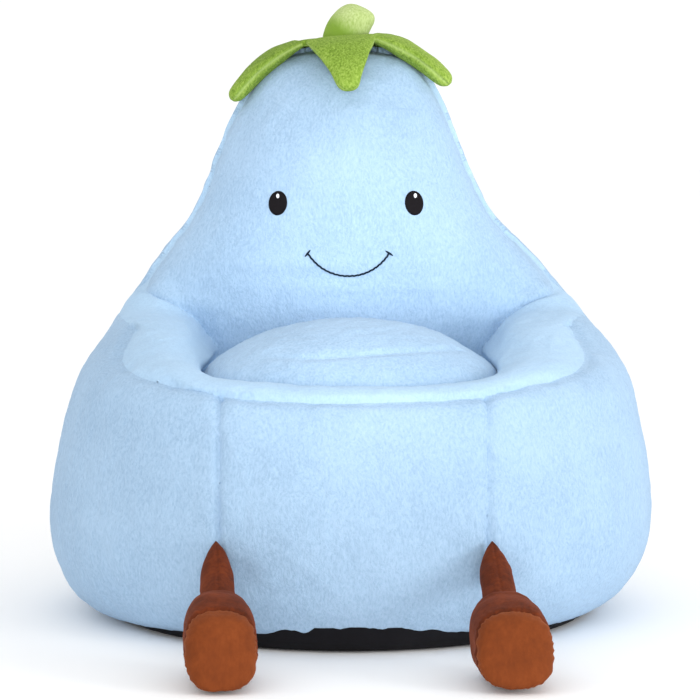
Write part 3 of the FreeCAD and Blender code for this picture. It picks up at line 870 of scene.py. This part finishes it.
def build_crown():
    green = plush("leaf_plush", rgb(92, 122, 34), rgb(130, 160, 60), rgb(160, 186, 88), clump=520, bump=0.7,
                  sheen=0.15, tint=rgb(200, 220, 150), edge=rgb(176, 198, 116))
    stem_green = plush("stem_plush", rgb(150, 172, 96), rgb(178, 196, 128), rgb(194, 209, 150), clump=520,
                       bump=0.4, sheen=0.15, tint=rgb(220, 235, 180), edge=rgb(132, 164, 62))
    for number, (name, (angle, *shape)) in enumerate(LEAVES.items()):
        rings, pinch = leaf_rings(*shape)
        rings = [crown_tipped(turned(r, angle)) for r in rings]
        leaf = inflate(rings_mesh(f"{name}_leaf_plush", rings), None, 1.8)
        points = points_of(leaf)
        ripple = noise_field(points, 13, 40 + number) * 0.6 + noise_field(points, 26, 50 + number) * 0.9
        push_out(leaf, ripple - 2.0 * pinch)
        mark_edge(leaf, pinch * 0.75)
        subdivide(leaf, 1)
        piece(leaf, f"{name}_leaf_body", [f"{name}_leaf"], green)
    corners = 5
    turns = np.linspace(0, 2 * np.pi, 90, endpoint=False)
    wedge = (turns + np.pi / corners) % (2 * np.pi / corners) - np.pi / corners
    outline = APOTHEM / np.cos(wedge)
    rows = []
    for z, k in ((-3.0, 0.9), (-3.4, 0.97), (-1.5, 1.0), (1.5, 1.0), (3.4, 0.97), (4.2, 0.85), (4.6, 0.5)):
        r = outline * k
        row = np.stack([r * np.sin(turns), -r * np.cos(turns), np.full_like(turns, z)], axis=1)
        rows.append(crown_tipped(row))
    patch = subdivide(rings_mesh("calyx_patch_plush", rows), 1)
    piece(patch, "chair", ["calyx_patch"], green)
    rings = []
    c, s = oval(40)
    for up, shift, r, lean in STEM:
        a = math.radians(lean)
        x, y = r * c, r * 0.97 * s
        rings.append(crown_tipped(np.stack([shift + x * math.cos(a), y, 3.5 + up - x * math.sin(a)], axis=1)))
    stem = subdivide(inflate(rings_mesh("stem_plush", rings), 4, 2), 1)
    points = points_of(stem)
    push_out(stem, noise_field(points, 17, 61) + noise_field(points, 9, 62) * 0.4)
    x, _, z = (points - CROWN).T
    mark_edge(stem, ease(8, 32, -(x - 16) * 0.7 - (z - 32) * 0.95))  # darker green low down on the left
    piece(stem, "chair", ["stem_cover", "stem_stuffing"], stem_green)


# ---- legs ----
LEG_YAW = 4.3
# forward from the root, half width, half height, height of the middle
SLEEVE = [(0.8, 1.2, 18.5, 86), (3, 3.6, 18.6, 86), (7, 7.6, 18.4, 85.2), (13.5, 11.4, 17.4, 83.2),
          (22, 13.8, 16, 79.8), (32, 15, 15.2, 75.6), (44, 15.4, 14.9, 70), (58, 15.3, 14.8, 63.6),
          (72, 15, 14.7, 57.4), (86, 14.4, 14.4, 51.6), (96, 13, 13, 48)]
FOOT = {"left": [(80, 12, 14, 52), (84, 20.5, 24.5, 47), (90, 26.5, 32, 43), (100, 30.2, 35.3, 38.8),
                 (114, 31.2, 37.2, 38), (130, 31.4, 37, 37.4), (145, 31.3, 35.8, 36.4), (154, 31.2, 34.2, 35),
                 (160, 31.3, 32.8, 33.8), (165, 31, 32.4, 33.4), (170, 29.6, 31.2, 33),
                 (174, 26.4, 28.2, 32.8), (177, 20.5, 21.8, 32.8), (178.5, 12, 11.8, 32.8)],
        "right": [(80, 12, 14, 51), (84, 21.5, 23.5, 46), (90, 28.5, 31.4, 42.4), (100, 32, 34.2, 37.8),
                  (114, 33.2, 35.8, 36.8), (130, 33.4, 35.6, 36.4), (145, 33.4, 34.4, 35.8),
                  (154, 33.3, 32.8, 34.8), (160, 33.3, 31.4, 34.2), (165, 33, 31, 34), (169, 31.6, 30, 33.8),
                  (172.5, 28, 26.8, 33.8), (175, 22, 20.8, 33.8), (176.5, 13, 11.8, 33.8)]}
FOOT_POWER = 2.7
FOOT_SHEAR = 0.36  # how far the foot's lower front leads its top, per millimetre of height
SOLE_SEAM = 157.0


def leg_origin(side):
    return np.array([*LEG_ROOT[side], 0.0])


def leg_placed(points, side):
    return turned(points, LEG_YAW) + leg_origin(side)


def leg_local(points, side):
    return turned(points - leg_origin(side), -LEG_YAW)


def shear(forward, z):
    """How far the foot's lower front is pushed forward at a height."""
    return FOOT_SHEAR * ease(105, 150, forward) * (38 - z)


def leg_rings(rows, side, power=2.0):
    across, up = oval(40, power)
    return [leg_placed(np.stack([w * across, -f - shear(f, z + h * up), z + h * up], axis=1), side)
            for f, w, h, z in rows]


def unsheared(local):
    """How far forward of the root points lie, with the foot's shear taken out."""
    return -local[:, 1] - shear(-local[:, 1], local[:, 2])


def build_leg(side):
    brown, tan = bpy.data.materials["leg_velvet"], bpy.data.materials["sole_velvet"]
    sleeve = subdivide(rings_mesh(f"{side}_leg_velvet", leg_rings(SLEEVE, side)), 2)
    points, normals = points_of(sleeve), normals_of(sleeve)
    local = leg_local(points, side)
    ridge = -np.exp(-((local[:, 0] / 1.5) ** 2)) * (normals[:, 2] > 0.2) * ease(2, 12, -local[:, 1])
    creases = noise_field(points, 9, 71) * 0.5 + noise_field(points, 20, 72) * 0.8
    push_out(sleeve, ridge * 0.9 + creases * ease(0, 14, -local[:, 1]))
    dress(sleeve, brown)
    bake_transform(sleeve)
    piece(sleeve, None, [f"{side}_leg_root", f"{side}_leg_tube"], brown)

    foot = subdivide(inflate(rings_mesh(f"{side}_foot", leg_rings(FOOT[side], side, FOOT_POWER)), 4, 2), 1)
    points = points_of(foot)
    local = leg_local(points, side)
    turn = np.arctan2(local[:, 2] - 38.5, local[:, 0])
    from_seam = unsheared(local) - SOLE_SEAM
    groove = -2.2 * np.exp(-((from_seam / 2.0) ** 2))
    sides = 0.35 + 0.65 * np.abs(np.cos(turn)) ** 2
    gathers = np.sin(turn * 27 + 2.5 * np.sin(turn * 5)) * np.exp(-np.abs(from_seam) / 12) * sides * 1.1
    dents = noise_field(points, 26, 73) * 0.9 + noise_field(points, 10, 74) * 0.4
    push_out(foot, groove + gathers + dents)
    points = points_of(foot)
    points[:, 2] = np.maximum(points[:, 2], 0.3)
    set_points(foot, points)
    foot.name = f"{side}_foot_velvet"
    sole = foot.copy()
    sole.data = foot.data.copy()
    sole.name = f"{side}_sole_velvet"
    bpy.context.scene.collection.objects.link(sole)

    def beyond_seam(centres):
        return unsheared(leg_local(centres, side)) > SOLE_SEAM

    thicken(keep_faces(sole, beyond_seam), 1.6)
    thicken(keep_faces(foot, lambda centres: ~beyond_seam(centres)), 1.6)
    piece(sole, f"{side}_leg", [f"{side}_foot_sole"], tan)
    piece(foot, f"{side}_leg", [f"{side}_foot_upper", f"{side}_foot_stuffing"], brown)


# ---- face ----
EYE_X = {"left": -73.0, "right": 65.0}
EYE_Z, EYE_HALF_WIDTH, EYE_HALF_HEIGHT, EYE_TILT = 404.3, 10.0, 13.1, 8.0
GLINT_RISE, GLINT_R = 7.2, (2.0, 3.0)
SMILE_X, SMILE_Z, SMILE_R, SMILE_HALF_ANGLE = -1.5, 378.7, 48.0, 59.0
STITCH_LENGTH, STITCH_RADIUS = 5.0, 1.05
TICK_HALF, TICK_TILT = 3.3, math.radians(42)  # the short stitches across the smile's ends


def face_surface():
    """Reads the face panel's outer surface: the place and normal at x and z."""
    panel = bpy.data.objects["face_panel_plush"]
    tree = BVHTree.FromObject(panel, bpy.context.evaluated_depsgraph_get())

    def read(x, z):
        place, normal, _, _ = tree.ray_cast(Vector((x * MM, -0.4, z * MM)), Vector((0, 1, 0)))
        return place / MM, normal

    return read


def oval_patch(name, read, centre, half_width, half_height, tilt, thick, rings=9, around=48):
    """A domed oval of embroidery that lies on the face."""
    points = []
    _, normal = read(*centre)
    t = math.radians(tilt)
    for k in range(rings + 1):
        share = k / rings
        rise = thick * math.sqrt(max(0, 1 - share**4)) + (0.25 if k < rings else -0.9)
        for i in range(around):
            a = 2 * math.pi * i / around
            x, z = half_width * share * math.cos(a), half_height * share * math.sin(a)
            x, z = x * math.cos(t) - z * math.sin(t), x * math.sin(t) + z * math.cos(t)
            place, _ = read(centre[0] + x, centre[1] + z)
            points.append(tuple(place + normal * rise))
    thing = mesh_object(name, points, ring_faces(rings + 1, around))
    mesh = bmesh.new()
    mesh.from_mesh(thing.data)
    bmesh.ops.remove_doubles(mesh, verts=mesh.verts, dist=1e-6)
    bmesh.ops.recalc_face_normals(mesh, faces=mesh.faces)
    mesh.to_mesh(thing.data)
    mesh.free()
    thing.data.shade_smooth()
    return thing


def stitch_row(name, read, path):
    """Overlapping slanted stitches, each a small spindle, along a path of (x, z) points one stitch apart."""
    points, faces = [], []
    around, rows = 8, 7
    for (x0, z0), (x1, z1) in zip(path, path[1:]):
        along = Vector((x1 - x0, 0, z1 - z0))
        length = along.length * 1.35
        along.normalize()
        place, normal = read((x0 + x1) / 2, (z0 + z1) / 2)
        side = normal.cross(along).normalized()
        along = (along + side * 0.16).normalized()
        first = len(points)
        for r in range(rows):
            s = r / (rows - 1)
            radius = STITCH_RADIUS * math.sin(math.pi * (0.06 + 0.88 * s)) ** 0.6
            middle = place + normal * 0.5 + along * (s - 0.5) * length
            for i in range(around):
                a = 2 * math.pi * i / around
                out = side * math.cos(a) + normal * 0.8 * math.sin(a)
                points.append(tuple(middle + out * radius))
        faces += ring_faces(rows, around, first) + ring_caps(rows, around, first)
    return mesh_object(name, points, faces)


def build_face():
    read = face_surface()
    dark = satin_thread("eye_thread", rgb(8, 6, 8), rgb(20, 16, 20), scale=300, roughness=0.6)
    pale = satin_thread("glint_thread", rgb(226, 232, 238), rgb(250, 252, 255))
    ink = satin_thread("smile_thread", rgb(6, 16, 28), rgb(22, 38, 54), turn=0.6)
    for side, sign in (("left", 1), ("right", -1)):
        centre = (EYE_X[side], EYE_Z)
        eye = oval_patch(f"{side}_eye_stitching", read, centre, EYE_HALF_WIDTH, EYE_HALF_HEIGHT,
                         -sign * EYE_TILT, 1.6)
        piece(eye, "chair", [f"{side}_eye"], dark)
        spot = (centre[0] + 0.5, centre[1] + GLINT_RISE)
        glint = oval_patch(f"{side}_glint_stitching", read, spot, *GLINT_R, 0, 2.2, rings=4, around=20)
        piece(glint, "chair", [f"{side}_eye_glint"], pale)
    span = math.radians(SMILE_HALF_ANGLE)
    count = round(2 * span * SMILE_R / STITCH_LENGTH)
    arc = [(SMILE_X + SMILE_R * math.sin(t), SMILE_Z - SMILE_R * math.cos(t))
           for t in np.linspace(-span, span, count + 1)]
    smile = [stitch_row("smile_stitching_row", read, arc)]
    dx, dz = TICK_HALF * math.cos(TICK_TILT), TICK_HALF * math.sin(TICK_TILT)
    for end, sign in ((arc[0], -1), (arc[-1], 1)):
        tick = [(end[0] - sign * dx, end[1] + dz), (end[0] + sign * dx, end[1] - dz)]
        smile.append(stitch_row("smile_tick", read, tick))
    with bpy.context.temp_override(active_object=smile[0], selected_editable_objects=smile):
        bpy.ops.object.join()
    piece(smile[0], "chair", ["smile_stitching"], ink)


# ---- parts kept from the model ----
def dress_hidden_parts():
    """Materials for the zip and for the legs' filling, which keep their modelled shapes."""
    fibre = bpy.data.materials["fibre"]
    tape = cloth_weave("zip_tape", rgb(186, 216, 246), rgb(158, 192, 228), scale=700)
    coil = cloth_weave("zip_coil", rgb(180, 208, 238), rgb(130, 160, 196), scale=260, bump=1.0, roughness=0.4)
    metal = cloth_weave("zip_metal", rgb(205, 210, 216), rgb(170, 175, 182), scale=90, bump=0.08,
                        roughness=0.28, metallic=0.9, sheen=0.0)
    chosen = {"zip_upper_tape": tape, "zip_lower_tape": tape, "zip_coil": coil,
              "zip_stops": metal, "zip_slider": metal}
    for side in ("left", "right"):
        chosen[f"{side}_leg_stuffing"] = fibre
    for name, material in chosen.items():
        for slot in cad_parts[name].material_slots:
            slot.material = material


add_camera()
add_stage()

velvet("leg_velvet", rgb(70, 27, 7), rgb(90, 36, 10), rgb(112, 48, 16), rgb(170, 78, 28))
velvet("sole_velvet", rgb(107, 49, 16), rgb(116, 54, 18), rgb(125, 60, 22), rgb(205, 120, 58),
       streak=(1, 1, 0.4))
build_body()
build_pad()
build_base()
build_crown()
for leg_side in ("left", "right"):
    build_leg(leg_side)
build_face()
dress_hidden_parts()
